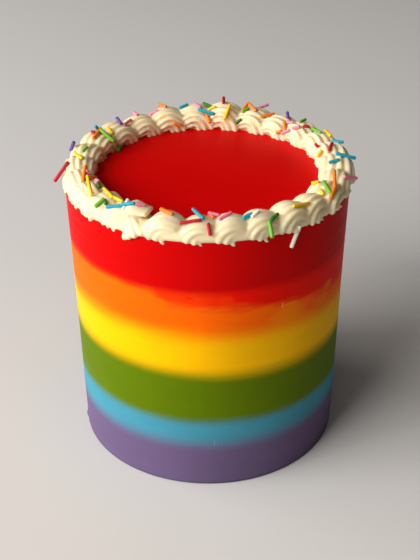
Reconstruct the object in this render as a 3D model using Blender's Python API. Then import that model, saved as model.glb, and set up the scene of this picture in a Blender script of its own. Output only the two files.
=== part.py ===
"""A tall round rainbow cake: six coloured bands under a piped cream border with sprinkles.

Metres, +Z up. The origin is the middle of the base, which lies on the plane z = 0.
Azimuth is measured round the cake from the front (-Y) towards +X.
"""
import math
import random

import bmesh
import bpy
from mathutils import Vector
from mathutils.bvhtree import BVHTree

MM = 0.001

# ---- driving dimensions, metres and degrees ----
BASE_RADIUS = 0.0786            # foot of the cake
TOP_RADIUS = 0.0824             # rim: the wall leans out a little
HEIGHT = 0.1667                 # foot to the red top
GAP = 0.0003                    # left between pieces that touch
WALL_SIDES = 96
RIM_ROUNDING = 0.0012

# The bands from the foot up: name, mean height of the upper edge, how far that edge tilts
# and towards which azimuth, depth of its waves and azimuth of a crest, and the colour.
BANDS = (
    ("band_purple", 0.0246, 0.0053, -3, 0.0010, 36, (0.115, 0.075, 0.200)),
    ("band_blue", 0.0412, 0.0067, 10, 0.0008, 27, (0.095, 0.330, 0.450)),
    ("band_green", 0.0761, 0.0032, -52, 0.0008, -42, (0.150, 0.215, 0.015)),
    ("band_yellow", 0.0992, 0.0097, -34, 0.0016, 34, (0.900, 0.600, 0.010)),
    ("band_orange", 0.1335, 0.0015, 42, 0.0009, 35, (0.850, 0.140, 0.004)),
    ("band_red", HEIGHT, 0.0, 0, 0.0, 0, (0.600, 0.004, 0.006)),
)
WAVES = 4                       # waves of an edge round the cake

# The piped border: a ring of overlapping shells. Each is a short fluted strand that stands up
# from a wide foot on the rim, bends over along the ring and dips under the foot of the next.
RING_RADIUS = 0.0742            # middle line of the ring
FIRST_SHELL = -18.4             # azimuth of the first one, before the crowding
SHELL_STEP = 13.6
CROWDING = 2.6                  # degrees: the shells stand closer at the front
AZIMUTH_SPREAD = 0.9
SIZE_SWING, SIZE_SPREAD = 0.06, 0.06    # smaller at the front than at the back, and uneven
# Heights of the 26 shells as shares of the full rise, from the first one round to the last.
TALLS = (1.08, 1.00, 1.04, 1.06, 1.04, 1.00, 0.98, 0.94, 0.92, 0.94, 0.98, 0.96, 0.92, 0.98,
         1.06, 0.94, 0.96, 0.88, 0.86, 0.92, 0.88, 0.94, 0.90, 0.96, 0.98, 1.00)
STRAND_START = (-0.0036, -0.0022)   # along the ring and up
STRAND_ACROSS = (0.0002, -0.0008)   # from the middle line, at the foot and in the tail
STRAND_LENGTH = 0.0235
STRAND_BEND = 118               # degrees from upright in the tail
BEND_SPAN = (-0.10, 0.60)       # where the bend starts and ends, as shares of the length
LEAN = (-10, 6)                 # degrees from upright at the foot: at the back and the front
FRONT_AZIMUTH = 5               # middle of the front shells
FRONT_REACH = 60                # degrees from there to where the back ones start
FRONT_FADE = 50                 # over which the one lean turns into the other
HALF_WIDE = (0.0094, 0.0086, 0.0046)    # across the ring, at the foot, the crest and the tail
HALF_HIGH = (0.0082, 0.0062, 0.0034)    # on the outer side of the bend
HALF_LOW = (0.0078, 0.0046, 0.0030)     # on its inner side
FOOT_NARROWING = 0.16           # of the very foot, where the cream meets the rim
FOOT_SQUARENESS = 3.6           # of the foot's outline, where 2 is an ellipse
DROOP = 0.0005                  # of the flutes' ends in the lower edge
DROOP_SHARE = 0.3               # of the strand, over which the droop fades
FLUTES = 8
FLUTE_DEPTH = 0.13              # as a share of the section
STATIONS = 7                    # stretches of a strand
# The end shell stands over the first foot, and its tail is a flap over the ring.
END_AZIMUTH = -30
END_START = (0.0020, -0.0032)
END_LENGTH = 0.0235
END_BEND = 92
END_SPAN = (0.42, 0.66)
END_LEAN = -28
END_WIDE = (0.0100, 0.0060, 0.0050)
END_HIGH = (0.0078, 0.0042, 0.0017)
CORE_ACROSS = 0.0006            # the cream under and between the shells
CORE_HALF_WIDE = 0.0082
CORE_RISE = 0.0008
CORE_HALF_HIGH = 0.0048
CORE_STEPS, CORE_SIDES = 52, 8
CLEARANCE_DEPTH = 0.040         # below the rim, along which the border is cut clear of the wall
CREAM = (0.900, 0.800, 0.590)

# Sprinkles: short round rods of coloured sugar.
SPRINKLE_RADIUS = 0.00092
SPRINKLE_SIDES = 6
SPRINKLE_SINK = 0.00045         # how deep they are pressed into the cream
SPRINKLE_STEP = 0.0010          # between the points that feel the cream under a rod
PROBE_RISE = 0.05               # above the red top, where the search for the cream starts
LOOSE_COUNT = 7                 # strewn by a rule on the outside of the back
LOOSE_LENGTHS = (0.0060, 0.0105)
LOOSE_SPAN = (100, 260)         # degrees
LOOSE_ACROSS = (0.0015, 0.0065)
LOOSE_SPACING = 0.0060
SEED = 11

# Those that show in the photograph: azimuth in degrees, distance from the cake's axis and
# length in millimetres, turn in degrees from along the ring towards straight out, and rise
# in degrees of that end.
PLACED_SPRINKLES = (
    (-179.5, 67.0, 11.0, 20, 10), (-175.5, 74.5, 5.0, 40, 20), (-169, 78.5, 6.5, 160, 10),
    (-163, 63.5, 5.5, 10, 20), (-154, 76.0, 6.0, 15, -20), (-145.5, 79.0, 4.5, 85, 5),
    (-137, 72.0, 9.0, 160, 0), (-133, 74.0, 6.5, 105, 20), (-124.5, 71.5, 6.5, 110, 20),
    (-122, 79.0, 4.0, 10, 50), (-121.5, 62.5, 5.0, 155, 20), (-117.5, 67.5, 11.5, 95, 30),
    (-116, 73.5, 11.5, 175, 10), (-116, 76.0, 4.0, 120, 0), (-103.5, 82.0, 7.0, 105, -65),
    (-100.5, 73.0, 5.0, 25, -20), (-91, 74.5, 8.0, 135, 10), (-86, 84.0, 14.0, 60, -45),
    (-74, 69.5, 3.5, 95, 35), (-73, 72.0, 12.5, 20, -20), (-71, 69.0, 6.0, 65, 15),
    (-71, 63.5, 5.0, 90, 55), (-64.5, 67.5, 5.0, 0, 10), (-60, 69.0, 5.0, 15, -10),
    (-56, 77.0, 14.5, 20, -25), (-48.5, 71.5, 11.0, 10, -5), (-46, 80.0, 7.0, 105, -30),
    (-44.5, 78.0, 4.0, 25, -15), (-42, 72.0, 9.0, 5, 0), (-39, 78.0, 10.0, 150, -10),
    (-34.5, 76.5, 7.0, 85, -35), (-33, 77.0, 8.0, 165, -15), (-28.5, 74.0, 5.5, 140, 10),
    (-17, 73.5, 8.0, 15, -10), (-6.5, 78.0, 11.5, 175, -10), (-4, 72.0, 10.0, 50, -10),
    (0.5, 81.5, 7.0, 80, -40), (1.5, 70.0, 5.0, 60, 0), (2.5, 69.5, 6.0, 10, -10),
    (7, 74.0, 8.5, 150, -10), (16, 75.5, 6.0, 165, -10), (19, 76.0, 6.0, 155, -20),
    (22.5, 85.0, 9.5, 100, -40), (26, 79.5, 6.5, 155, -10), (39, 78.5, 12.0, 0, -10),
    (54.5, 76.0, 4.5, 115, -20), (56, 81.5, 7.0, 170, -25), (57, 77.5, 9.5, 125, -20),
    (59, 69.0, 4.5, 85, 20), (62, 78.5, 13.5, 155, -25), (74.5, 83.0, 10.5, 40, -20),
    (84.5, 72.5, 6.5, 70, 10), (89.5, 79.5, 12.0, 90, -15), (97.5, 66.0, 5.0, 50, 30),
    (99.5, 73.0, 7.5, 30, 15), (105.5, 67.0, 5.0, 5, -5), (118.5, 75.0, 10.0, 180, 5),
    (126, 74.5, 4.0, 145, -5), (128, 68.5, 5.0, 145, 15), (133, 65.5, 6.5, 160, 30),
    (134.5, 71.5, 5.0, 165, 5), (136, 68.5, 9.0, 45, 20), (137, 64.5, 4.5, 165, 30),
    (149, 73.0, 9.5, 130, 5), (155.5, 85.5, 8.0, 130, 10), (157.5, 75.0, 8.0, 30, 20),
    (160.5, 72.0, 5.5, 120, 10), (161.5, 76.5, 7.0, 110, 25), (162.5, 65.0, 4.5, 155, 40),
    (169, 66.0, 12.0, 100, 30), (177.5, 71.5, 5.0, 170, 20), (179.5, 64.5, 7.0, 70, 30),
)
# One rod hangs over the rim by its upper end, against the wall.
HANGING_AZIMUTH = 32            # of its foot
HANGING_LENGTH = 0.0128
HANGING_TOP = 0.0012            # above the rim
HANGING_SWAY = 0.0058           # how far its foot is to the left of its head
HANGING_RADIUS = 0.0834         # of its foot's middle


def clear_scene():
    for item in list(bpy.data.objects):
        bpy.data.objects.remove(item, do_unlink=True)


def new_collection(name):
    collection = bpy.data.collections.new(name)
    bpy.context.scene.collection.children.link(collection)
    return collection


def icing(name, colour, roughness=0.55):
    material = bpy.data.materials.new(name)
    material.use_nodes = True
    shader = material.node_tree.nodes["Principled BSDF"]
    shader.inputs["Base Color"].default_value = (*colour, 1.0)
    shader.inputs["Roughness"].default_value = roughness
    shader.inputs["Metallic"].default_value = 0.0
    return material


def object_from(bm, name, collection, material=None):
    mesh = bpy.data.meshes.new(name)
    bm.to_mesh(mesh)
    bm.free()
    item = bpy.data.objects.new(name, mesh)
    if material:
        mesh.materials.append(material)
    collection.objects.link(item)
    return item


# ---- the bands ----

def wall_radius(z):
    return BASE_RADIUS + (TOP_RADIUS - BASE_RADIUS) * z / HEIGHT


def edge_height(band, azimuth):
    """Height of a band's upper edge at an azimuth in radians."""
    height, tilt, towards, depth, crest = band[1:6]
    wave = depth * math.cos(WAVES * (azimuth - math.radians(crest)))
    return height + tilt * math.cos(azimuth - math.radians(towards)) + wave


def azimuth_of(point):
    return math.atan2(point.x, -point.y)


def build_band(index, collection):
    """A slab that runs through the cake; its edges follow the borders of the colours."""
    band = BANDS[index]
    below = BANDS[index - 1] if index else None
    low, high = (below[1] if below else 0.0), band[1]
    bm = bmesh.new()
    bmesh.ops.create_cone(bm, cap_ends=True, cap_tris=True, segments=WALL_SIDES,
                          radius1=1.0, radius2=1.0, depth=1.0)
    for vert in bm.verts:
        upper = vert.co.z > 0.0
        centre = vert.co.xy.length < 0.5
        azimuth = azimuth_of(vert.co)
        if upper:
            z = high if centre or index == len(BANDS) - 1 else edge_height(band, azimuth)
        else:
            z = low if centre or not below else edge_height(below, azimuth)
            z += GAP if below else 0.0
        radius = 0.0 if centre else wall_radius(z)
        vert.co = Vector((radius * math.sin(azimuth), -radius * math.cos(azimuth), z))
    if index == len(BANDS) - 1:
        rim = [edge for edge in bm.edges
               if all(v.co.z > HEIGHT - GAP and v.co.xy.length > BASE_RADIUS for v in edge.verts)]
        bmesh.ops.bevel(bm, geom=rim, offset=RIM_ROUNDING, segments=1, affect="EDGES")
    item = object_from(bm, band[0], collection, icing(band[0], band[6]))
    item.data.shade_smooth()
    item.data.set_sharp_from_angle(angle=math.radians(40))
    return item


# ---- the piped border ----

def on_ring(azimuth, along, across, up):
    """A point given along the ring from an azimuth, across it outwards, and up."""
    radius = RING_RADIUS + across
    turned = azimuth + along / RING_RADIUS
    return Vector((radius * math.sin(turned), -radius * math.cos(turned), HEIGHT + up))


def smooth(share):
    share = max(0.0, min(1.0, share))
    return share * share * (3.0 - 2.0 * share)


def between(t, values):
    """A smooth run through a first, middle and last value."""
    first, middle, last = values
    if t < 0.5:
        return first + (middle - first) * smooth(2.0 * t)
    return middle + (last - middle) * smooth(2.0 * t - 1.0)


def course(start, length, lean, bend, span, wide, high, low):
    """Stations of a strand: share, place along and up, way it heads, and its half sizes."""
    along, up = start
    stations = []
    for station in range(STATIONS + 1):
        t = station / STATIONS
        turn = math.radians(lean + (bend - lean) * smooth((t - span[0]) / (span[1] - span[0])))
        stations.append((t, along, up, turn, between(t, wide), between(t, high), between(t, low)))
        share = (t + 0.5 / STATIONS - span[0]) / (span[1] - span[0])
        middle_turn = math.radians(lean + (bend - lean) * smooth(share))
        along += length / STATIONS * math.sin(middle_turn)
        up += length / STATIONS * math.cos(middle_turn)
    return stations


def rounded(angle, squareness):
    """Reach of a rounded square of that squareness, as a share of an ellipse's."""
    return (abs(math.cos(angle)) ** squareness
            + abs(math.sin(angle)) ** squareness) ** (-1.0 / squareness)


def build_shell(name, azimuth, size, tall, stations, collection):
    """One shell: a loft of fluted sections along a strand."""
    bm = bmesh.new()
    rings = []
    for t, along, up, turn, half_wide, half_high, half_low in stations:
        across = STRAND_ACROSS[0] + (STRAND_ACROSS[1] - STRAND_ACROSS[0]) * t
        foot = 1.0 if t else 1.0 - FOOT_NARROWING
        squareness = 2.0 + (FOOT_SQUARENESS - 2.0) * (1.0 - smooth(2.0 * t))
        droop = DROOP * (1.0 - smooth(t / DROOP_SHARE))
        ring = []
        for k in range(2 * FLUTES):
            angle = math.pi * k / FLUTES
            lobe = 1.0 if k % 2 else -1.0
            reach = foot * (1.0 + FLUTE_DEPTH * lobe) * rounded(angle, squareness)
            upper = reach * math.cos(angle)
            upper *= half_high if upper > 0.0 else half_low
            ring.append(bm.verts.new(on_ring(
                azimuth,
                size * (along - upper * math.cos(turn)),
                size * (across + reach * half_wide * math.sin(angle)),
                size * tall * (up + upper * math.sin(turn)) - droop * lobe)))
        rings.append(ring)
    for lower, upper in zip(rings, rings[1:]):
        for k in range(2 * FLUTES):
            bm.faces.new((lower[k], lower[k - 1], upper[k - 1], upper[k]))
    bm.faces.new(rings[0])
    bm.faces.new(reversed(rings[-1]))
    bmesh.ops.recalc_face_normals(bm, faces=bm.faces)
    bmesh.ops.triangulate(bm, faces=bm.faces)
    return object_from(bm, name, collection)


def build_shells(collection):
    """All shells round the rim; azimuths and sizes follow one seeded draw."""
    draw = random.Random(SEED)
    shells = []
    for index, tall in enumerate(TALLS):
        even = math.radians(FIRST_SHELL + SHELL_STEP * index)
        azimuth = even - math.radians(CROWDING) * math.sin(even)
        azimuth += math.radians(draw.uniform(-AZIMUTH_SPREAD, AZIMUTH_SPREAD))
        size = 1.0 - SIZE_SWING * math.cos(even) + draw.uniform(-SIZE_SPREAD, SIZE_SPREAD)
        turned = (math.degrees(azimuth) + 180.0) % 360.0 - 180.0
        front = smooth((FRONT_REACH - abs(turned - FRONT_AZIMUTH)) / FRONT_FADE)
        lean = LEAN[0] + (LEAN[1] - LEAN[0]) * front
        stations = course(STRAND_START, STRAND_LENGTH, lean, STRAND_BEND, BEND_SPAN, HALF_WIDE,
                          HALF_HIGH, HALF_LOW)
        shells.append(build_shell(f"shell_{index}", azimuth, size, tall, stations, collection))
    stations = course(END_START, END_LENGTH, END_LEAN, END_BEND, END_SPAN, END_WIDE, END_HIGH,
                      END_HIGH)
    shells.append(build_shell("shell_end", math.radians(END_AZIMUTH), 1.0, 1.0, stations,
                              collection))
    return shells


def build_core(name, collection, material):
    """The cream under the shells: a plain ring, on which everything else is joined."""
    bm = bmesh.new()
    rings = []
    for step in range(CORE_STEPS):
        azimuth = 2.0 * math.pi * step / CORE_STEPS
        ring = []
        for k in range(CORE_SIDES):
            angle = 2.0 * math.pi * k / CORE_SIDES
            across = CORE_ACROSS + CORE_HALF_WIDE * math.cos(angle)
            up = CORE_RISE + CORE_HALF_HIGH * math.sin(angle)
            ring.append(bm.verts.new(on_ring(azimuth, 0.0, across, up)))
        rings.append(ring)
    for step in range(CORE_STEPS):
        here, after = rings[step - 1], rings[step]
        for k in range(CORE_SIDES):
            bm.faces.new((here[k], here[k - 1], after[k - 1], after[k]))
    bmesh.ops.recalc_face_normals(bm, faces=bm.faces)
    return object_from(bm, name, collection, material)


def surface_of(items):
    """A search tree over the outsides of several objects."""
    vertices, faces = [], []
    for item in items:
        start = len(vertices)
        vertices.extend(vert.co.copy() for vert in item.data.vertices)
        faces.extend([start + v for v in face.vertices] for face in item.data.polygons)
    return BVHTree.FromPolygons(vertices, faces)


def height_at(tree, point):
    hit = tree.ray_cast(Vector((point.x, point.y, HEIGHT + PROBE_RISE)), Vector((0.0, 0.0, -1.0)))
    return hit[0].z if hit[0] and hit[0].z > HEIGHT + CORE_RISE else None


def lying_rod(tree, azimuth, radius, length, turn, rise):
    """Middle and direction of a rod that leans on the cream under it."""
    outward = Vector((math.sin(azimuth), -math.cos(azimuth), 0.0))
    along = Vector((math.cos(azimuth), math.sin(azimuth), 0.0))
    heading = along * math.cos(turn) + outward * math.sin(turn)
    middle = outward * radius
    slope = math.tan(rise)
    flat = length * math.cos(rise)
    count = max(3, round(flat / SPRINKLE_STEP))
    clear = []
    for step in range(count + 1):
        offset = flat * (step / count - 0.5)
        height = height_at(tree, middle + heading * offset)
        if height is not None:
            clear.append(height - slope * offset)
    if not clear:
        return None
    middle.z = max(clear) + SPRINKLE_RADIUS / math.cos(rise) - SPRINKLE_SINK
    return middle, (heading + Vector((0.0, 0.0, slope))).normalized()


def build_rod(name, middle, direction, length, collection):
    bm = bmesh.new()
    bmesh.ops.create_cone(bm, cap_ends=True, segments=SPRINKLE_SIDES, radius1=SPRINKLE_RADIUS,
                          radius2=SPRINKLE_RADIUS, depth=length)
    turn = direction.to_track_quat("Z", "Y").to_matrix().to_4x4()
    turn.translation = middle
    bm.transform(turn)
    return object_from(bm, name, collection)


def strewn(draw, taken):
    """Places of the other sprinkles round the back: random, but not on one another."""
    places = []
    while len(places) < LOOSE_COUNT:
        azimuth = math.radians(draw.uniform(*LOOSE_SPAN))
        radius = RING_RADIUS + draw.uniform(*LOOSE_ACROSS)
        length = draw.uniform(*LOOSE_LENGTHS)
        turn = draw.uniform(0.0, math.pi)
        spot = Vector((radius * math.sin(azimuth), -radius * math.cos(azimuth)))
        if all((spot - other).length > LOOSE_SPACING for other in taken):
            taken.append(spot)
            places.append((azimuth, radius, length, turn, 0.0))
    return places


def build_sprinkles(tree, collection):
    draw = random.Random(SEED)
    places = [(math.radians(azimuth), radius * MM, length * MM, math.radians(turn),
               math.radians(rise)) for azimuth, radius, length, turn, rise in PLACED_SPRINKLES]
    taken = [Vector((place[1] * math.sin(place[0]), -place[1] * math.cos(place[0])))
             for place in places]
    places += strewn(draw, taken)
    for number, (azimuth, radius, length, turn, rise) in enumerate(places):
        rod = lying_rod(tree, azimuth, radius, length, turn, rise)
        if rod:
            build_rod(f"sprinkle_{number}", *rod, length, collection)
    azimuth = math.radians(HANGING_AZIMUTH)
    outward = Vector((math.sin(azimuth), -math.cos(azimuth), 0.0))
    along = Vector((math.cos(azimuth), math.sin(azimuth), 0.0))
    direction = (along * HANGING_SWAY + Vector((0.0, 0.0, HANGING_LENGTH))).normalized()
    foot = outward * HANGING_RADIUS
    foot.z = HEIGHT + HANGING_TOP - direction.z * HANGING_LENGTH
    middle = foot + direction * HANGING_LENGTH / 2.0
    build_rod("sprinkle_hanging", middle, direction, HANGING_LENGTH, collection)


def build_clearance(collection):
    """The cake's own outline grown by the gap, which the border is cut clear of."""
    bm = bmesh.new()
    bmesh.ops.create_cone(bm, cap_ends=True, segments=WALL_SIDES, depth=CLEARANCE_DEPTH,
                          radius1=wall_radius(HEIGHT - CLEARANCE_DEPTH) + 2.0 * GAP,
                          radius2=TOP_RADIUS + 2.0 * GAP)
    middle = HEIGHT + GAP - CLEARANCE_DEPTH / 2.0
    bmesh.ops.translate(bm, verts=bm.verts, vec=(0.0, 0.0, middle))
    item = object_from(bm, "top_clearance", collection)
    item.hide_render = True
    item.display_type = "WIRE"
    return item


def apply_boolean(item, operation, solver, other=None, group=None):
    modifier = item.modifiers.new(operation.lower(), "BOOLEAN")
    modifier.operation = operation
    modifier.solver = solver
    if group:
        modifier.operand_type = "COLLECTION"
        modifier.collection = group
    else:
        modifier.object = other
    bpy.context.view_layer.update()
    evaluated = item.evaluated_get(bpy.context.evaluated_depsgraph_get())
    joined = bpy.data.meshes.new_from_object(evaluated)
    item.modifiers.remove(modifier)
    item.data = joined


def keep_largest_body(item):
    """Drops scraps that the cutting left loose."""
    bm = bmesh.new()
    bm.from_mesh(item.data)
    waiting = set(bm.verts)
    bodies = []
    while waiting:
        body = {waiting.pop()}
        edge = list(body)
        while edge:
            near = {e.other_vert(v) for v in edge for e in v.link_edges} - body
            body |= near
            edge = list(near)
        waiting -= body
        bodies.append(body)
    bodies.sort(key=len)
    for body in bodies[:-1]:
        bmesh.ops.delete(bm, geom=list(body), context="VERTS")
    bm.to_mesh(item.data)
    bm.free()


def build_border(collection, cutters):
    pieces = bpy.data.collections.new("piped_pieces")
    bpy.context.scene.collection.children.link(pieces)
    border = build_core("piped_border", collection, icing("cream", CREAM, 0.45))
    shells = build_shells(pieces)
    build_sprinkles(surface_of(shells), pieces)
    apply_boolean(border, "UNION", "MANIFOLD", group=pieces)
    for piece in list(pieces.objects):
        bpy.data.objects.remove(piece, do_unlink=True)
    bpy.data.collections.remove(pieces)
    apply_boolean(border, "DIFFERENCE", "MANIFOLD", other=build_clearance(cutters))
    keep_largest_body(border)
    return border


def main():
    clear_scene()
    cake = new_collection("rainbow_cake")
    cutters = new_collection("cutters")
    for index in range(len(BANDS)):
        build_band(index, cake)
    build_border(cake, cutters)


main()
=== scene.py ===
"""Looks of a rainbow cake: banded icing, a piped cream border and sugar sprinkles on it."""
import math
import random

import bmesh
import bpy
from mathutils import Matrix, Vector, noise
from mathutils.bvhtree import BVHTree


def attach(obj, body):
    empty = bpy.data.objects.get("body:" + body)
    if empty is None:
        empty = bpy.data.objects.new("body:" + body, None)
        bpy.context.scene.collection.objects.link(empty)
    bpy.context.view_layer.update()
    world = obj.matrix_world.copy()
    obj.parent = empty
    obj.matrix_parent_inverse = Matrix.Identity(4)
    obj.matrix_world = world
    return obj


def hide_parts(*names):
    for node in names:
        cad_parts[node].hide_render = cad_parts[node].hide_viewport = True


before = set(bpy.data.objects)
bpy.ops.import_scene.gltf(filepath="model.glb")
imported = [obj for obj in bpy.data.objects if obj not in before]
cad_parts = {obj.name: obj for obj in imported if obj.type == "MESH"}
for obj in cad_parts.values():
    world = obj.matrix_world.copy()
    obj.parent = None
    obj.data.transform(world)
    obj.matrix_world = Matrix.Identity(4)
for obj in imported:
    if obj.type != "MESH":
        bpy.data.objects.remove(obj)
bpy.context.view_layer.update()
MM = 0.001
BODY = "root"

# ---- sizes of the cake, as in the part: metres, and azimuth from the front towards +X ----
BASE_RADIUS = 0.0786
TOP_RADIUS = 0.0824
HEIGHT = 0.1667
RIM_ROUNDING = 0.0016
SEED = 11

# ---- the view ----
IMAGE_HIGH = 560                # of 420 x 560 pixels
FOCAL_PIXELS = 1125.7
SENSOR = 36.0
CAMERA_PLACE = Vector((0.0, -0.59317, 0.44625))
CAMERA_PITCH = 30.6575          # degrees
CAMERA_YAW = -0.1079
CAMERA_ROLL = -0.2904

# ---- soft light, mostly from the left, and the floor ----
LIGHT_DISTANCE = 3.0
LIGHT_SIZE = 1.7
# Name, azimuth and rise in degrees, and power in watts.
LIGHTS = (
    ("window_front", -45, 35, 64.0),
    ("window_side", -75, 25, 75.0),
    ("window_back", -105, 30, 21.0),
    ("ceiling", 0, 80, 8.0),
)
AMBIENT_COLOUR = (1.0, 0.90, 0.80, 1.0)
AMBIENT_STRENGTH = 0.03
FLOOR_SIZE = 12.0
FLOOR_COLOUR = (0.660, 0.630, 0.600, 1.0)

# ---- the icing's skin ----
WALL_AROUND = 384               # points round the cake
WALL_ROWS, TOP_ROWS = 150, 44
RIM_STEPS = 5                   # over the rounding
FOOT_BEVEL = 0.0006
# Unevenness: how deep it is, and its noise's scale across and up.
WALL_SWELL, SWELL_ACROSS, SWELL_UP = 0.00035, 2.2, 14.0         # slow, on the wall
WALL_STREAK, STREAK_ACROSS, STREAK_UP = 0.00006, 1.5, 420.0     # lines that the scraper left
TOP_SWELL, TOP_SCALE = 0.00030, 26.0
# A blob of icing on the wall: azimuth in degrees, height, reach and how far it stands out.
BLOB = (-80, 0.0042, 0.0020, 0.0009)

# ---- the icing's colours ----
# Upper edge of each colour: mean height, how far it tilts and towards which azimuth, depth of
# its two slow waves and azimuth of a crest, the same of its four quicker waves, width over
# which it blends, and the colour below it.
EDGES = (
    (0.0268, 0.0054, 0, 0.0012, 87, 0.0003, -31, 0.0140, (0.143, 0.097, 0.192)),
    (0.0418, 0.0068, 2, 0.0023, -79, 0.0005, 13, 0.0085, (0.061, 0.285, 0.385)),
    (0.0792, 0.0035, -53, 0.0007, -80, 0.0001, -36, 0.0130, (0.106, 0.172, 0.001)),
    (0.0992, 0.0089, -23, 0.0018, 76, 0.0004, -45, 0.0170, (0.980, 0.500, 0.001)),
    (0.1333, 0.0012, 10, 0.0007, -59, 0.0006, 26, 0.0070, (0.970, 0.130, 0.001)),
)
SLOW_WAVES = 2
QUICK_WAVES = 4
RED = (0.590, 0.0006, 0.0008)
# Between orange and red, the red was smeared thinly down over the orange on the right.
SMEAR_START = (-24, -14)        # degrees, over which the first part sets in
SMEAR_FIRST = 0.0078            # deep
SMEAR_SPAN = (-14, 110)
SMEAR_REST = 0.0170             # deeper at the end of the span
SMEAR_END = (115, 160)
SMEAR_BLEND = 0.0070
SMEAR_BLOTCH = 0.0050           # how far its lower edge wanders in short streaks
SMEAR_TURN = (-6, 12)           # degrees, over which its colour changes
SMEAR_ORANGE = (0.940, 0.040, 0.001)
SMEAR_RED = (0.880, 0.006, 0.001)
# The icing's noises: their scales across and up, then how far each one shows.
STREAKS = (9.0, 620.0)          # lines that the scraper left
CLOUDS = (28.0, 90.0)
BLOTCHES = (55.0, 260.0)
STRATA = (3.0, 330.0)
FINE = (60.0, 1500.0)
STREAK_JITTER = 0.0026          # how far the edges wander with the streaks and the clouds
CLOUD_JITTER = 0.0022
STRATA_RANGE, STRATA_SHARE = (0.50, 0.78), 0.22
STRATA_SHADE = (0.92, 0.90, 0.88)
CLOUD_RANGE, CLOUD_SHARE = (0.35, 0.75), 0.10
CLOUD_SHADE = (0.55, 0.50, 0.50)
FINE_DEPTH = 0.07               # of the fine lines, in millimetres
ICING_ROUGHNESS = (0.40, 0.52)
# Painted contact shadow, a dark line along the foot where the icing meets the floor: heights over
# which it fades, its shade and its share.
CONTACT_SHADOW_SPAN = (0.0004, 0.0020)
CONTACT_SHADOW_TINT = (0.30, 0.34, 0.50)
CONTACT_SHADOW_SHARE = 0.7
# Small marks and thin patches: azimuth in degrees, height, half width, half height and depth
# of the dent in millimetres, share of the tint, and the tint. Their outlines are ragged.
MARK_RAGGED, MARK_FADE = 1.2, (0.1, 1.4)    # as shares of their size squared
MARKS_AND_PIT_SHADE = (
    # The first two are dents in the red whose dark tint is painted shade; the rest are patches of
    # smeared colour and pale scratches.
    (-56, 140.0, 0.9, 0.8, 0.5, 0.6, (0.220, 0.000, 0.004)),
    (-7, 131.0, 2.6, 0.8, 0.2, 0.4, (0.380, 0.006, 0.001)),
    (-8, 130.5, 6.0, 3.2, 0.0, 0.35, (0.940, 0.022, 0.001)),
    (7, 129.5, 5.0, 3.4, 0.0, 0.40, (0.940, 0.055, 0.001)),
    (33, 112.5, 13.0, 6.5, 0.0, 0.55, (0.970, 0.260, 0.002)),
    (52, 112.0, 7.0, 3.0, 0.0, 0.35, (0.970, 0.260, 0.002)),
    (30, 120.0, 0.6, 1.9, 0.3, 0.6, (0.950, 0.480, 0.150)),
    (34, 119.4, 5.0, 1.2, 0.0, 0.4, (0.950, 0.330, 0.004)),
    (57, 118.5, 5.0, 2.4, 0.0, 0.5, (0.920, 0.260, 0.004)),
    (26, 80.5, 12.0, 1.8, 0.0, 0.35, (0.500, 0.380, 0.006)),
    (2, 32.0, 0.5, 3.0, 0.1, 0.4, (0.260, 0.300, 0.420)),
    (5, 31.0, 0.4, 2.4, 0.1, 0.4, (0.200, 0.260, 0.400)),
)

# ---- the cream border: the part's own sizes, with more flutes and stations ----
RING_RADIUS = 0.0742
SHELL_COUNT = 26                # without the end shell
FIRST_SHELL = -18.4             # degrees, before the crowding
SHELL_STEP = 13.6
CROWDING = 2.6                  # degrees that the shells are drawn towards the front
# A strand starts upright at the rim, bends over along the ring and dips into its tail.
STRAND_START = (-0.0036, -0.0022)   # along and up
STRAND_ACROSS = (0.0002, -0.0008)   # from the middle line of the ring, at the foot and the tail
STRAND_LENGTH = 0.0235
STRAND_BEND = 118                   # degrees from upright in the tail
BEND_SPAN = (-0.10, 0.60)           # where the bend starts and ends, as shares of the length
LEAN = (-10, 6)                     # degrees from upright at the foot: usual, and at the front
HALF_WIDE = (0.0094, 0.0086, 0.0046)    # across the ring, at the foot, the crest and the tail
HALF_HIGH = (0.0082, 0.0062, 0.0034)
FOOT_ROUNDING = 0.05                # share of the length, over which the foot widens
FOOT_PINCH = 0.16                   # how much narrower a shell is where it starts
FOOT_SQUARENESS = 3.6               # of the foot's outline, where 2 is an ellipse
SIZE_SWING, SIZE_SPREAD = 0.06, 0.06    # larger at the back, and by chance
# Heights of the shells as shares of the full rise, from the first one round to the last.
TALLS = (1.08, 1.00, 1.04, 1.06, 1.04, 1.00, 0.98, 0.94, 0.92, 0.94, 0.98, 0.96, 0.92, 0.98,
         1.06, 0.94, 0.96, 0.88, 0.86, 0.92, 0.88, 0.94, 0.90, 0.96, 0.98, 1.00)
AZIMUTH_SPREAD = 0.9            # degrees
DROOP = (-0.0002, 0.0011)       # of the flutes' ends in the lower edge
DROOP_SPAN = 0.3
TWIST = 0.25                    # radians, of the flutes round the strand
# The shell where the piping ends, with its flap turned over.
END_AZIMUTH = -30.0
END_START = (0.0020, -0.0032)
END_LENGTH = 0.0235
END_BEND = 92
END_SPAN = (0.42, 0.66)
END_LEAN = -28
END_WIDE = (0.0100, 0.0060, 0.0050)
END_HIGH = (0.0078, 0.0042, 0.0017)
# The cream under the shells: middle and half size, across and up.
CORE_ACROSS, CORE_HALF_WIDE = 0.0006, 0.0082
CORE_RISE, CORE_HALF_HIGH = 0.0008, 0.0048
FLUTES = 13
FLUTE_POINTS = 10               # points across one flute
FLUTE_DEPTH = 0.15              # as a share of the shell's reach
FLUTE_ROUNDNESS = 0.8
# Shares of that depth that are lost on the plain shells, and on the sides towards the front.
PLAIN_SHARE, FRONT_SHARE = 0.5, 0.6
FLUTE_SPREAD = 0.30             # how uneven a shell's flutes are
STATIONS = 26
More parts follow.
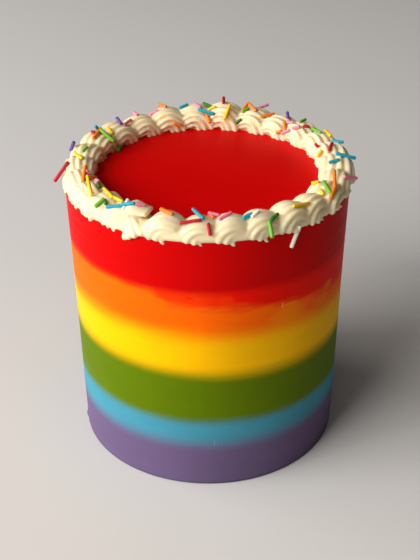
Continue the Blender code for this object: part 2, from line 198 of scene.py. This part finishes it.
# The front shells are the plainest: round which azimuth, and over how many degrees.
SMOOTHEST_AZIMUTH = 5
SMOOTH_SPAN = 50
PLAIN_REACH = 1.2
CORE_STEPS, CORE_SIDES = 156, 20
VOXEL, QUICK_VOXEL = 0.00066, 0.0010
EASE_FACTOR, EASE_ROUNDS = 0.5, 2   # of the smoothing after the remesh
CREAM = (0.850, 0.710, 0.460)
CREAM_CLOUD = (0.80, 0.64, 0.34)
CREAM_CLOUD_SHARE = 0.35
CREAM_ROUGHNESS = (0.32, 0.44)
CREAM_CLOUDS, CREAM_GRAIN = 120.0, 900.0    # scales of the noises
CREAM_GRAIN_DEPTH = 0.00025

# ---- the sprinkles ----
SPRINKLE_RADIUS = 0.00092
SPRINKLE_GIRTHS = (0.98, 1.22)  # some are thicker, as shares of that radius
SPRINKLE_SIDES = 12
SPRINKLE_CAP = 0.0005
CAP_PROFILE = ((0.0, 0.62), (0.3, 0.88), (1.0, 1.0))    # shares of the cap and of the width
SPRINKLE_BOW = 0.02             # as a share of the length
SPRINKLE_SINK = 0.00045         # into the cream
SPRINKLE_STEP = 0.0010          # between the places where the cream's height is taken
# The ones strewn on the outside of the back.
LOOSE_COUNT = 7
LOOSE_LENGTHS = (0.0060, 0.0105)
LOOSE_SPAN = (100, 260)         # degrees
LOOSE_ACROSS = (0.0015, 0.0065)
LOOSE_SPACING = 0.0060
# The one that hangs down over the edge.
HANGING_AZIMUTH = 32
HANGING_LENGTH = 0.0128
HANGING_TOP = 0.0012
HANGING_SWAY = 0.0058
HANGING_RADIUS = 0.0834
# The sprinkles' colours, and how much paler they are in places.
SUGAR_PALENESS = 0.06
SUGAR_PALE_SHARE = 0.3
SUGAR_ROUGHNESS = (0.3, 0.48)
SUGAR_CLOUDS, SUGAR_GRAIN = 260.0, 2600.0   # scales of the noises
SUGAR_GRAIN_DEPTH = 0.00012
SUGARS = {
    "red": (0.480, 0.004, 0.014),
    "orange": (0.880, 0.210, 0.008),
    "yellow": (0.900, 0.560, 0.006),
    "green": (0.150, 0.430, 0.020),
    "dark_green": (0.035, 0.170, 0.012),
    "teal": (0.006, 0.330, 0.430),
    "purple": (0.140, 0.060, 0.300),
    "pink": (0.860, 0.240, 0.340),
    "white": (0.880, 0.820, 0.720),
}
# Azimuth in degrees, distance from the axis and length in millimetres, turn in degrees from
# along the ring towards straight out, and rise in degrees of that end.
PLACED_SPRINKLES = {
    "red": ((-116, 76.0, 4.0, 120, 0), (-86, 84.0, 14.0, 60, -45), (-6.5, 78.0, 11.5, 175, -10),
            (0.5, 81.5, 7.0, 80, -40), (99.5, 73.0, 7.5, 30, 15), (105.5, 67.0, 5.0, 5, -5),
            (126, 74.5, 4.0, 145, -5)),
    "orange": ((-163, 63.5, 5.5, 10, 20), (-116, 73.5, 11.5, 175, 10),
               (-73, 72.0, 12.5, 20, -20), (-71, 69.0, 6.0, 65, 15), (-17, 73.5, 8.0, 15, -10),
               (1.5, 70.0, 5.0, 60, 0), (56, 81.5, 7.0, 170, -25), (62, 78.5, 13.5, 155, -25),
               (136, 68.5, 9.0, 45, 20), (137, 64.5, 4.5, 165, 30), (149, 73.0, 9.5, 130, 5),
               (157.5, 75.0, 8.0, 30, 20), (161.5, 76.5, 7.0, 110, 25),
               (179.5, 64.5, 7.0, 70, 30)),
    "yellow": ((-124.5, 71.5, 6.5, 110, 20), (-91, 74.5, 8.0, 135, 10), (-71, 63.5, 5.0, 90, 55),
               (-56, 77.0, 14.5, 20, -25), (-48.5, 71.5, 11.0, 10, -5), (-42, 72.0, 9.0, 5, 0),
               (39, 78.5, 12.0, 0, -10), (54.5, 76.0, 4.5, 115, -20), (59, 69.0, 4.5, 85, 20),
               (97.5, 66.0, 5.0, 50, 30), (169, 66.0, 12.0, 100, 30), (177.5, 71.5, 5.0, 170, 20)),
    "green": ((-117.5, 67.5, 11.5, 95, 30), (-100.5, 73.0, 5.0, 25, -20),
              (-46, 80.0, 7.0, 105, -30), (22.5, 85.0, 9.5, 100, -40), (57, 77.5, 9.5, 125, -20),
              (118.5, 75.0, 10.0, 180, 5), (160.5, 72.0, 5.5, 120, 10)),
    "dark_green": ((-121.5, 62.5, 5.0, 155, 20), (-60, 69.0, 5.0, 15, -10),
                   (-44.5, 78.0, 4.0, 25, -15), (26, 79.5, 6.5, 155, -10),
                   (162.5, 65.0, 4.5, 155, 40)),
    "teal": ((-179.5, 67.0, 11.0, 20, 10), (-169, 78.5, 6.5, 160, 10), (-122, 79.0, 4.0, 10, 50),
             (-39, 78.0, 10.0, 150, -10), (-33, 77.0, 8.0, 165, -15), (-4, 72.0, 10.0, 50, -10),
             (16, 75.5, 6.0, 165, -10), (84.5, 72.5, 6.5, 70, 10), (89.5, 79.5, 12.0, 90, -15)),
    "purple": ((-133, 74.0, 6.5, 105, 20), (-103.5, 82.0, 7.0, 105, -65)),
    "pink": ((-175.5, 74.5, 5.0, 40, 20), (-154, 76.0, 6.0, 15, -20), (-145.5, 79.0, 4.5, 85, 5),
             (-137, 72.0, 9.0, 160, 0), (-74, 69.5, 3.5, 95, 35), (-64.5, 67.5, 5.0, 0, 10),
             (-28.5, 74.0, 5.5, 140, 10), (2.5, 69.5, 6.0, 10, -10), (7, 74.0, 8.5, 150, -10),
             (74.5, 83.0, 10.5, 40, -20), (128, 68.5, 5.0, 145, 15), (133, 65.5, 6.5, 160, 30),
             (134.5, 71.5, 5.0, 165, 5), (155.5, 85.5, 8.0, 130, 10)),
    "white": ((-34.5, 76.5, 7.0, 85, -35), (19, 76.0, 6.0, 155, -20)),
}


def smooth(share):
    """A smooth step from 0 to 1."""
    share = max(0.0, min(1.0, share))
    return share * share * (3.0 - 2.0 * share)


def wall_radius(z):
    """Radius of the slightly widening wall."""
    return BASE_RADIUS + (TOP_RADIUS - BASE_RADIUS) * z / HEIGHT


def on_wall(azimuth, radius, z):
    """A point at that azimuth, distance from the axis and height."""
    return Vector((radius * math.sin(azimuth), -radius * math.cos(azimuth), z))


def directions(azimuth):
    """Straight out from the axis, and along the wall, at that azimuth."""
    return (Vector((math.sin(azimuth), -math.cos(azimuth), 0.0)),
            Vector((math.cos(azimuth), math.sin(azimuth), 0.0)))


# ---- materials ----

class Shading:
    """A material's node tree, with a short call for each kind of node."""

    def __init__(self, name):
        self.material = bpy.data.materials.new(name)
        self.material.use_nodes = True
        self.tree = self.material.node_tree
        self.shader = self.tree.nodes["Principled BSDF"]
        self.place = self.add("ShaderNodeTexCoord").outputs["Object"]

    def add(self, kind, **settings):
        made = self.tree.nodes.new(kind)
        for key, value in settings.items():
            setattr(made, key, value)
        return made

    def put(self, socket, value):
        if isinstance(value, bpy.types.NodeSocket):
            self.tree.links.new(value, socket)
        else:
            socket.default_value = value

    def math(self, operation, *values):
        made = self.add("ShaderNodeMath", operation=operation)
        for socket, value in zip(made.inputs, values):
            self.put(socket, value)
        return made.outputs[0]

    def centred(self, value, depth):
        """A value from 0 to 1, as one that swings by half the depth to either side of 0."""
        return self.math("MULTIPLY_ADD", value, depth, -depth / 2.0)

    def stretch(self, across, up):
        """The place with its horizontal and vertical parts scaled."""
        made = self.add("ShaderNodeVectorMath", operation="MULTIPLY")
        self.put(made.inputs[0], self.place)
        made.inputs[1].default_value = (across, across, up)
        return made.outputs[0]

    def noise(self, vector, scale=1.0, detail=3.0, roughness=0.5):
        made = self.add("ShaderNodeTexNoise")
        self.put(made.inputs["Vector"], vector)
        made.inputs["Scale"].default_value = scale
        made.inputs["Detail"].default_value = detail
        made.inputs["Roughness"].default_value = roughness
        return made.outputs["Fac"]

    def ramp(self, value, low, high, start=0.0, end=1.0):
        """Smooth step of a value between two limits, which may be sockets."""
        made = self.add("ShaderNodeMapRange", interpolation_type="SMOOTHSTEP")
        for name, item in (("Value", value), ("From Min", low), ("From Max", high),
                           ("To Min", start), ("To Max", end)):
            self.put(made.inputs[name], item)
        return made.outputs[0]

    def mix(self, share, first, second, blend="MIX"):
        made = self.add("ShaderNodeMix", data_type="RGBA", blend_type=blend)
        self.put(made.inputs["Factor"], share)
        for socket, colour in ((made.inputs[6], first), (made.inputs[7], second)):
            self.put(socket, colour if isinstance(colour, bpy.types.NodeSocket) else (*colour, 1.0))
        return made.outputs[2]

    def bump(self, height, distance, strength=1.0):
        made = self.add("ShaderNodeBump")
        self.put(made.inputs["Height"], height)
        made.inputs["Distance"].default_value = distance
        made.inputs["Strength"].default_value = strength
        self.put(self.shader.inputs["Normal"], made.outputs["Normal"])

    def finish(self, colour, roughness, **constants):
        self.put(self.shader.inputs["Base Color"], colour)
        self.put(self.shader.inputs["Roughness"], roughness)
        for name, value in constants.items():
            self.shader.inputs[name.replace("_", " ")].default_value = value
        return self.material


def icing_material():
    """Six bands of colour that follow wavy edges and are smeared into each other."""
    s = Shading("icing")
    parts = s.add("ShaderNodeSeparateXYZ")
    s.put(parts.inputs[0], s.place)
    azimuth = s.math("ARCTAN2", parts.outputs["X"], s.math("MULTIPLY", parts.outputs["Y"], -1.0))
    streaks = s.noise(s.stretch(*STREAKS), detail=4.0, roughness=0.6)
    clouds = s.noise(s.stretch(*CLOUDS), detail=2.0)
    height = s.math("ADD", parts.outputs["Z"], s.centred(streaks, STREAK_JITTER))
    height = s.math("ADD", height, s.centred(clouds, CLOUD_JITTER))

    def span(limits, value, fade=False):
        """A value that sets in, or fades, between two azimuths."""
        low, high = (math.radians(limit) for limit in limits)
        return s.ramp(azimuth, low, high, value if fade else 0.0, 0.0 if fade else value)

    def above(edge, blend):
        """How far a place lies above an edge that blends over some width."""
        return s.ramp(height, s.math("ADD", edge, -blend / 2.0), s.math("ADD", edge, blend / 2.0))

    colour = EDGES[0][-1]
    colours = [edge[-1] for edge in EDGES[1:]] + [RED]

    def swing(count, crest, depth, base):
        """A wave round the cake, added to a height."""
        turned = s.math("MULTIPLY_ADD", azimuth, float(count), -count * math.radians(crest))
        return s.math("MULTIPLY_ADD", s.math("COSINE", turned), depth, base)

    for index, (level, tilt, towards, slow, high, quick, crest, blend, _) in enumerate(EDGES):
        edge = swing(1, towards, tilt, level)
        edge = swing(SLOW_WAVES, high, slow, edge)
        edge = swing(QUICK_WAVES, crest, quick, edge)
        if colours[index] is RED:
            thick = s.math("ADD", span(SMEAR_START, SMEAR_FIRST), span(SMEAR_SPAN, SMEAR_REST))
            thick = s.math("MULTIPLY", thick, span(SMEAR_END, 1.0, fade=True))
            smear = s.mix(span(SMEAR_TURN, 1.0), SMEAR_ORANGE, SMEAR_RED)
            blotches = s.noise(s.stretch(*BLOTCHES), roughness=0.6)
            thick = s.math("ADD", thick, s.centred(blotches, 2.0 * SMEAR_BLOTCH))
            low = s.math("SUBTRACT", edge, thick)
            colour = s.mix(above(low, SMEAR_BLEND), colour, smear)
        colour = s.mix(above(edge, blend), colour, colours[index])
    # Painted shade: the icing darkens along its foot, where it meets the floor.
    foot = s.ramp(parts.outputs["Z"], *CONTACT_SHADOW_SPAN, CONTACT_SHADOW_SHARE, 0.0)
    colour = s.mix(foot, colour, CONTACT_SHADOW_TINT, "MULTIPLY")
    strata = s.noise(s.stretch(*STRATA), roughness=0.7)
    shade = s.ramp(strata, *STRATA_RANGE, 0.0, STRATA_SHARE)
    colour = s.mix(shade, colour, STRATA_SHADE, "MULTIPLY")
    shade = s.ramp(clouds, *CLOUD_RANGE, 0.0, CLOUD_SHARE)
    colour = s.mix(shade, colour, CLOUD_SHADE, "MULTIPLY")
    dents = None
    for place, level, wide, high, deep, share, tint_and_pit_shade in MARKS_AND_PIT_SHADE:
        across = s.math("ADD", azimuth, -math.radians(place))
        across = s.math("MULTIPLY", across, wall_radius(level * MM) / (wide * MM))
        up = s.math("ADD", parts.outputs["Z"], -level * MM)
        up = s.math("DIVIDE", up, high * MM)
        reach = s.math("ADD", s.math("POWER", across, 2.0), s.math("POWER", up, 2.0))
        reach = s.math("ADD", reach, s.centred(streaks, MARK_RAGGED))
        spot = s.ramp(reach, *MARK_FADE, 1.0, 0.0)
        # In the dark dents this tint is painted shade.
        colour = s.mix(s.math("MULTIPLY", spot, share), colour, tint_and_pit_shade)
        dent = s.math("MULTIPLY", spot, -deep)
        dents = s.math("ADD", dents, dent) if dents else dent
    fine = s.noise(s.stretch(*FINE))
    s.bump(s.math("MULTIPLY_ADD", fine, FINE_DEPTH, dents), MM)
    roughness = s.ramp(streaks, 0.3, 0.7, *ICING_ROUGHNESS)
    return s.finish(colour, roughness, Subsurface_Weight=0.10, Subsurface_Scale=0.002,
                    Specular_IOR_Level=0.035)


def cream_material():
    """Whipped cream: light goes into it, and it is slightly cloudy and grainy."""
    s = Shading("cream")
    clouds = s.noise(s.place, CREAM_CLOUDS)
    colour = s.mix(s.ramp(clouds, 0.3, 0.7, 0.0, CREAM_CLOUD_SHARE), CREAM, CREAM_CLOUD)
    grain = s.noise(s.place, CREAM_GRAIN, detail=4.0, roughness=0.6)
    s.bump(grain, CREAM_GRAIN_DEPTH, 0.4)
    roughness = s.ramp(clouds, 0.3, 0.7, *CREAM_ROUGHNESS)
    return s.finish(colour, roughness, Subsurface_Weight=0.75, Subsurface_Scale=0.0045,
                    Subsurface_Radius=(1.0, 0.93, 0.55), Specular_IOR_Level=0.32)


def sugar_material(name, colour):
    """Pressed sugar with a thin glaze, paler in places."""
    s = Shading(name)
    clouds = s.noise(s.place, SUGAR_CLOUDS, detail=2.0)
    pale = [channel + SUGAR_PALENESS * (1.0 - channel) for channel in colour]
    tinted = s.mix(s.ramp(clouds, 0.4, 0.7, 0.0, SUGAR_PALE_SHARE), colour, pale)
    grain = s.noise(s.place, SUGAR_GRAIN, roughness=0.6)
    s.bump(grain, SUGAR_GRAIN_DEPTH, 0.3)
    return s.finish(tinted, s.ramp(grain, 0.3, 0.7, *SUGAR_ROUGHNESS), Subsurface_Weight=0.1,
                    Subsurface_Scale=0.001, Coat_Weight=0.03, Coat_Roughness=0.25,
                    Specular_IOR_Level=0.2)


# ---- pieces ----

def piece(name, mesh, material, slot, *nodes):
    """A piece of the cake that stands for those nodes of the part."""
    item = bpy.data.objects.new(name, mesh)
    bpy.context.scene.collection.objects.link(item)
    mesh.materials.clear()
    mesh.materials.append(material)
    mesh.shade_smooth()
    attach(item, BODY)
    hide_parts(*nodes)
    return item


def wall_noise(around, z, across, up):
    return noise.noise(Vector((across * around.x, across * around.y, z * up)))


def icing_mesh():
    """One closed skin: base, wall and top, as uneven as a scraper leaves them."""
    rows = [(BASE_RADIUS - FOOT_BEVEL, 0.0), (BASE_RADIUS, FOOT_BEVEL)]
    top = HEIGHT - RIM_ROUNDING
    rows += [(wall_radius(z), z) for z in (top * (k + 1) / WALL_ROWS for k in range(WALL_ROWS))]
    for k in range(1, RIM_STEPS + 1):
        turn = 0.5 * math.pi * k / RIM_STEPS
        rows.append((wall_radius(top) - RIM_ROUNDING * (1.0 - math.cos(turn)),
                     top + RIM_ROUNDING * math.sin(turn)))
    edge = rows[-1][0]
    rows += [(edge * (1.0 - k / TOP_ROWS), HEIGHT) for k in range(1, TOP_ROWS)]
    bm = bmesh.new()
    rings = []
    for index, (radius, z) in enumerate(rows):
        ring = []
        for step in range(WALL_AROUND):
            azimuth = 2.0 * math.pi * step / WALL_AROUND
            around = directions(azimuth)[0]
            point = around * radius
            flat = z >= HEIGHT - 1e-6
            if index > 1 and not flat:
                swell = wall_noise(around, z, SWELL_ACROSS, SWELL_UP)
                streak = wall_noise(around, z, STREAK_ACROSS, STREAK_UP)
                aside = radius * (azimuth - math.radians(BLOB[0] % 360))
                blob = BLOB[3] * math.exp(-(aside ** 2 + (z - BLOB[1]) ** 2) / BLOB[2] ** 2)
                point = around * (radius + WALL_SWELL * swell + WALL_STREAK * streak + blob)
            point.z = z
            if flat:
                swell = noise.noise(Vector((point.x * TOP_SCALE, point.y * TOP_SCALE, 4.0)))
                point.z -= TOP_SWELL * (0.5 + 0.5 * swell)
            ring.append(bm.verts.new(point))
        rings.append(ring)
    for lower, upper in zip(rings, rings[1:]):
        for k in range(WALL_AROUND):
            bm.faces.new((lower[k - 1], lower[k], upper[k], upper[k - 1]))
    for ring, z in ((rings[0], 0.0), (rings[-1], HEIGHT - 0.5 * TOP_SWELL)):
        middle = bm.verts.new((0.0, 0.0, z))
        for k in range(WALL_AROUND):
            bm.faces.new((ring[k - 1], ring[k], middle))
    bmesh.ops.recalc_face_normals(bm, faces=bm.faces)
    mesh = bpy.data.meshes.new("icing")
    bm.to_mesh(mesh)
    bm.free()
    return mesh


# ---- the cream border ----

def on_ring(azimuth, along, across, up):
    """A point beside the ring's middle line: along it, across it and above the cake."""
    turned = azimuth + along / RING_RADIUS
    return on_wall(turned, RING_RADIUS + across, HEIGHT + up)


def between(t, values):
    """A smooth run through a first, middle and last value."""
    first, middle, last = values
    if t < 0.5:
        return first + (middle - first) * smooth(2.0 * t)
    return middle + (last - middle) * smooth(2.0 * t - 1.0)


def course(start, length, lean, bend, span, wide, high):
    """Stations of a strand: place along and up, way it heads, half width and half height."""
    along, up = start
    stations = []
    for station in range(STATIONS + 1):
        t = station / STATIONS
        turn = math.radians(lean + (bend - lean) * smooth((t - span[0]) / (span[1] - span[0])))
        stations.append((t, along, up, turn, between(t, wide), between(t, high)))
        along += length / STATIONS * math.sin(turn)
        up += length / STATIONS * math.cos(turn)
    return stations


def rounded(angle, square):
    """Reach of a rounded square of that squareness, as a share of an ellipse's."""
    return (abs(math.cos(angle)) ** square + abs(math.sin(angle)) ** square) ** (-1.0 / square)


def add_shell(bm, azimuth, size, tall, stations, plainness, draw):
    """One shell: a loft of fluted sections along a strand."""
    points = FLUTES * FLUTE_POINTS
    depths = [FLUTE_DEPTH * draw.uniform(1.0 - FLUTE_SPREAD, 1.0 + FLUTE_SPREAD)
              for _ in range(FLUTES)]
    droops = [draw.uniform(*DROOP) for _ in range(FLUTES)]
    twist = draw.uniform(-TWIST, TWIST)
    rings = []
    for t, along, up, turn, half_wide, half_high in stations:
        across = STRAND_ACROSS[0] + (STRAND_ACROSS[1] - STRAND_ACROSS[0]) * t
        foot = 1.0 - FOOT_PINCH * (1.0 - smooth(t / FOOT_ROUNDING))
        square = 2.0 + (FOOT_SQUARENESS - 2.0) * (1.0 - smooth(2.0 * t))
        ring = []
        for k in range(points):
            angle = 2.0 * math.pi * k / points + twist
            lobe = 2.0 * abs(math.sin(math.pi * k / FLUTE_POINTS)) ** FLUTE_ROUNDNESS - 1.0
            front = math.cos(angle) * math.cos(azimuth) - math.sin(angle) * math.sin(azimuth)
            depth = depths[k // FLUTE_POINTS] * (1.0 - PLAIN_SHARE * plainness)
            depth *= 1.0 - FRONT_SHARE * smooth(front)
            reach = foot * (1.0 + depth * lobe) * rounded(angle, square)
            outer = reach * half_high * math.cos(angle)     # on the outer side of the bend
            point = Vector((
                size * (along - outer * math.cos(turn)),
                size * (across + reach * half_wide * math.sin(angle)),
                size * tall * (up + outer * math.sin(turn))))
            point.z -= droops[k // FLUTE_POINTS] * lobe * (1.0 - smooth(t / DROOP_SPAN))
            ring.append(bm.verts.new(on_ring(azimuth, *point)))
        rings.append(ring)
    for lower, upper in zip(rings, rings[1:]):
        for k in range(points):
            bm.faces.new((lower[k], lower[k - 1], upper[k - 1], upper[k]))
    bm.faces.new(rings[0])
    bm.faces.new(reversed(rings[-1]))


def add_shells(bm):
    """All shells round the rim, where the part's own draw puts them."""
    draw = random.Random(SEED)
    detail = random.Random(SEED + 1)
    for index in range(SHELL_COUNT):
        even = math.radians(FIRST_SHELL + SHELL_STEP * index)
        azimuth = even - math.radians(CROWDING) * math.sin(even)
        azimuth += math.radians(draw.uniform(-AZIMUTH_SPREAD, AZIMUTH_SPREAD))
        size = 1.0 - SIZE_SWING * math.cos(even) + draw.uniform(-SIZE_SPREAD, SIZE_SPREAD)
        turned = (math.degrees(azimuth) + 180.0) % 360.0 - 180.0
        plainness = smooth(PLAIN_REACH - abs(turned - SMOOTHEST_AZIMUTH) / SMOOTH_SPAN)
        lean = LEAN[0] + (LEAN[1] - LEAN[0]) * plainness
        stations = course(STRAND_START, STRAND_LENGTH, lean, STRAND_BEND, BEND_SPAN, HALF_WIDE,
                          HALF_HIGH)
        add_shell(bm, azimuth, size, TALLS[index], stations, plainness, detail)
    stations = course(END_START, END_LENGTH, END_LEAN, END_BEND, END_SPAN, END_WIDE, END_HIGH)
    add_shell(bm, math.radians(END_AZIMUTH), 1.0, 1.0, stations, 0.0, detail)


def add_core(bm):
    """A ring of cream under the shells, which joins them."""
    rings = []
    for step in range(CORE_STEPS):
        azimuth = 2.0 * math.pi * step / CORE_STEPS
        ring = []
        for k in range(CORE_SIDES):
            angle = 2.0 * math.pi * k / CORE_SIDES
            ring.append(bm.verts.new(on_ring(
                azimuth, 0.0, CORE_ACROSS + CORE_HALF_WIDE * math.cos(angle),
                CORE_RISE + CORE_HALF_HIGH * math.sin(angle))))
        rings.append(ring)
    for step in range(CORE_STEPS):
        here, after = rings[step - 1], rings[step]
        for k in range(CORE_SIDES):
            bm.faces.new((here[k], here[k - 1], after[k - 1], after[k]))


def evaluated_mesh(item):
    """The object's mesh with its modifiers applied."""
    bpy.context.view_layer.update()
    graph = bpy.context.evaluated_depsgraph_get()
    return bpy.data.meshes.new_from_object(item.evaluated_get(graph))


def border_mesh():
    """The shells and the cream under them, melted together."""
    bm = bmesh.new()
    add_shells(bm)
    add_core(bm)
    bmesh.ops.recalc_face_normals(bm, faces=bm.faces)
    mesh = bpy.data.meshes.new("cream_border")
    bm.to_mesh(mesh)
    bm.free()
    item = bpy.data.objects.new("unfinished_border", mesh)
    bpy.context.scene.collection.objects.link(item)
    melt = item.modifiers.new("melt", "REMESH")
    melt.mode = "VOXEL"
    melt.voxel_size = VOXEL
    ease = item.modifiers.new("ease", "SMOOTH")
    ease.factor = EASE_FACTOR
    ease.iterations = EASE_ROUNDS
    melted = evaluated_mesh(item)
    bpy.data.objects.remove(item, do_unlink=True)
    melted.name = "cream_border"
    return melted


# ---- the sprinkles ----

def height_at(tree, point):
    """Height of the cream there, or nothing beside it."""
    hit = tree.ray_cast(Vector((point.x, point.y, HEIGHT + 0.05)), Vector((0.0, 0.0, -1.0)))
    return hit[0].z if hit[0] and hit[0].z > HEIGHT + CORE_RISE else None


def lying_rod(tree, azimuth, radius, length, turn, rise):
    """Middle and direction of a rod that lies on the cream, or stands beside it on the cake."""
    outward, along = directions(azimuth)
    heading = along * math.cos(turn) + outward * math.sin(turn)
    middle = outward * radius
    slope = math.tan(rise)
    flat = length * math.cos(rise)
    count = max(3, round(flat / SPRINKLE_STEP))
    clear = []
    for step in range(count + 1):
        offset = flat * (step / count - 0.5)
        height = height_at(tree, middle + heading * offset)
        if height is not None:
            clear.append(height - slope * offset)
    if not clear:
        clear = [HEIGHT + 0.5 * flat * abs(slope)]
    middle.z = max(clear) + SPRINKLE_RADIUS / math.cos(rise) - SPRINKLE_SINK
    return middle, (heading + Vector((0.0, 0.0, slope))).normalized()


def add_rod(bm, middle, direction, length, draw):
    """A rod with rounded, slightly uneven ends and a slight bow."""
    turn = direction.to_track_quat("Z", "Y").to_matrix()
    bow = draw.uniform(-1.0, 1.0) * SPRINKLE_BOW * length
    girth = SPRINKLE_RADIUS * draw.uniform(*SPRINKLE_GIRTHS)
    half = [(-0.5 * length + SPRINKLE_CAP * share, width) for share, width in CAP_PROFILE]
    half.append((-0.18 * length, 1.0))
    profile = half + [(-h, width) for h, width in reversed(half)]
    rings = []
    for h, width in profile:
        side = bow * (1.0 - (2.0 * h / length) ** 2)
        ring = []
        for k in range(SPRINKLE_SIDES):
            angle = 2.0 * math.pi * k / SPRINKLE_SIDES
            local = Vector((girth * width * math.cos(angle) + side,
                            girth * width * math.sin(angle), h))
            ring.append(bm.verts.new(middle + turn @ local))
        rings.append(ring)
    for lower, upper in zip(rings, rings[1:]):
        for k in range(SPRINKLE_SIDES):
            bm.faces.new((lower[k - 1], lower[k], upper[k], upper[k - 1]))
    bm.faces.new(reversed(rings[0]))
    bm.faces.new(rings[-1])


def strewn(draw, taken):
    """Places of the sprinkles on the outside of the back: random, but not on one another."""
    places = []
    while len(places) < LOOSE_COUNT:
        azimuth = math.radians(draw.uniform(*LOOSE_SPAN))
        radius = RING_RADIUS + draw.uniform(*LOOSE_ACROSS)
        length = draw.uniform(*LOOSE_LENGTHS)
        turn = draw.uniform(0.0, math.pi)
        spot = on_wall(azimuth, radius, 0.0)
        if all((spot - other).length > LOOSE_SPACING for other in taken):
            taken.append(spot)
            places.append((azimuth, radius, length, turn, 0.0))
    return places


def sprinkle_places():
    """Colour, azimuth, radius, length, turn and rise of each sprinkle."""
    places = [(colour, math.radians(azimuth), radius * MM, length * MM, math.radians(turn),
               math.radians(rise))
              for colour, rows in PLACED_SPRINKLES.items()
              for azimuth, radius, length, turn, rise in rows]
    taken = [on_wall(azimuth, radius, 0.0) for _, azimuth, radius, _, _, _ in places]
    colours = list(SUGARS)
    for index, place in enumerate(strewn(random.Random(SEED), taken)):
        places.append((colours[index % len(colours)], *place))
    return places


def hanging_rod():
    """The sprinkle that hangs down over the edge."""
    azimuth = math.radians(HANGING_AZIMUTH)
    outward, along = directions(azimuth)
    direction = (along * HANGING_SWAY + Vector((0.0, 0.0, HANGING_LENGTH))).normalized()
    foot = outward * HANGING_RADIUS
    foot.z = HEIGHT + HANGING_TOP - direction.z * HANGING_LENGTH
    return foot + direction * HANGING_LENGTH / 2.0, direction


def sprinkle_meshes(tree):
    """One mesh for each colour."""
    draw = random.Random(SEED + 2)
    parts = {colour: bmesh.new() for colour in SUGARS}
    for colour, azimuth, radius, length, turn, rise in sprinkle_places():
        rod = lying_rod(tree, azimuth, radius, length, turn, rise)
        add_rod(parts[colour], *rod, length, draw)
    add_rod(parts["white"], *hanging_rod(), HANGING_LENGTH, draw)
    meshes = {}
    for colour, bm in parts.items():
        meshes[colour] = bpy.data.meshes.new(f"sprinkles_{colour}")
        bmesh.ops.recalc_face_normals(bm, faces=bm.faces)
        bm.to_mesh(meshes[colour])
        bm.free()
    return meshes


# ---- the view and the light ----

def add_light(name, azimuth, rise, power):
    """A round light at that azimuth and rise, turned to the middle of the cake."""
    around, up = math.radians(azimuth), math.radians(rise)
    lamp = bpy.data.lights.new(name, "AREA")
    lamp.shape = "DISK"
    lamp.size = LIGHT_SIZE
    lamp.energy = power
    item = bpy.data.objects.new(name, lamp)
    bpy.context.scene.collection.objects.link(item)
    item.location = on_wall(around, LIGHT_DISTANCE * math.cos(up), LIGHT_DISTANCE * math.sin(up))
    middle = Vector((0.0, 0.0, HEIGHT / 2.0))
    item.rotation_euler = (middle - item.location).to_track_quat("-Z", "Y").to_euler()


def add_stage():
    """The floor, the lights and the plain surroundings."""
    scene = bpy.context.scene
    bpy.ops.mesh.primitive_plane_add(size=FLOOR_SIZE, location=(0.0, 0.0, 0.0))
    floor = bpy.context.object
    floor.name = "floor"
    s = Shading("floor")
    floor.data.materials.append(s.finish(FLOOR_COLOUR, 0.75, Specular_IOR_Level=0.2))
    for row in LIGHTS:
        add_light(*row)
    world = bpy.data.worlds.new("studio")
    world.use_nodes = True
    sky = world.node_tree.nodes["Background"]
    sky.inputs["Color"].default_value = AMBIENT_COLOUR
    sky.inputs["Strength"].default_value = AMBIENT_STRENGTH
    scene.world = world
    scene.view_settings.view_transform = "Standard"


def add_camera():
    """The camera of the photograph, which looks down at the cake from the front."""
    camera = bpy.data.cameras.new("camera")
    camera.sensor_fit = "AUTO"
    camera.sensor_width = SENSOR
    camera.lens = FOCAL_PIXELS / IMAGE_HIGH * SENSOR
    item = bpy.data.objects.new("camera", camera)
    bpy.context.scene.collection.objects.link(item)
    aim = (Matrix.Rotation(math.radians(CAMERA_YAW), 4, "Z")
           @ Matrix.Rotation(math.radians(90.0 - CAMERA_PITCH), 4, "X")
           @ Matrix.Rotation(math.radians(CAMERA_ROLL), 4, "Z"))
    item.matrix_world = Matrix.Translation(CAMERA_PLACE) @ aim
    bpy.context.scene.camera = item


add_camera()
add_stage()
piece("icing", icing_mesh(), icing_material(), "icing_red", "band_purple", "band_blue",
      "band_green", "band_yellow", "band_orange", "band_red")
border = piece("cream_border", border_mesh(), cream_material(), "cream", "piped_border")
skin = border.data
cream_tree = BVHTree.FromPolygons([vertex.co for vertex in skin.vertices],
                                  [face.vertices for face in skin.polygons])
for colour, mesh in sprinkle_meshes(cream_tree).items():
    piece(f"sprinkles_{colour}", mesh, sugar_material(f"sugar_{colour}", SUGARS[colour]), "cream",
          "piped_border")
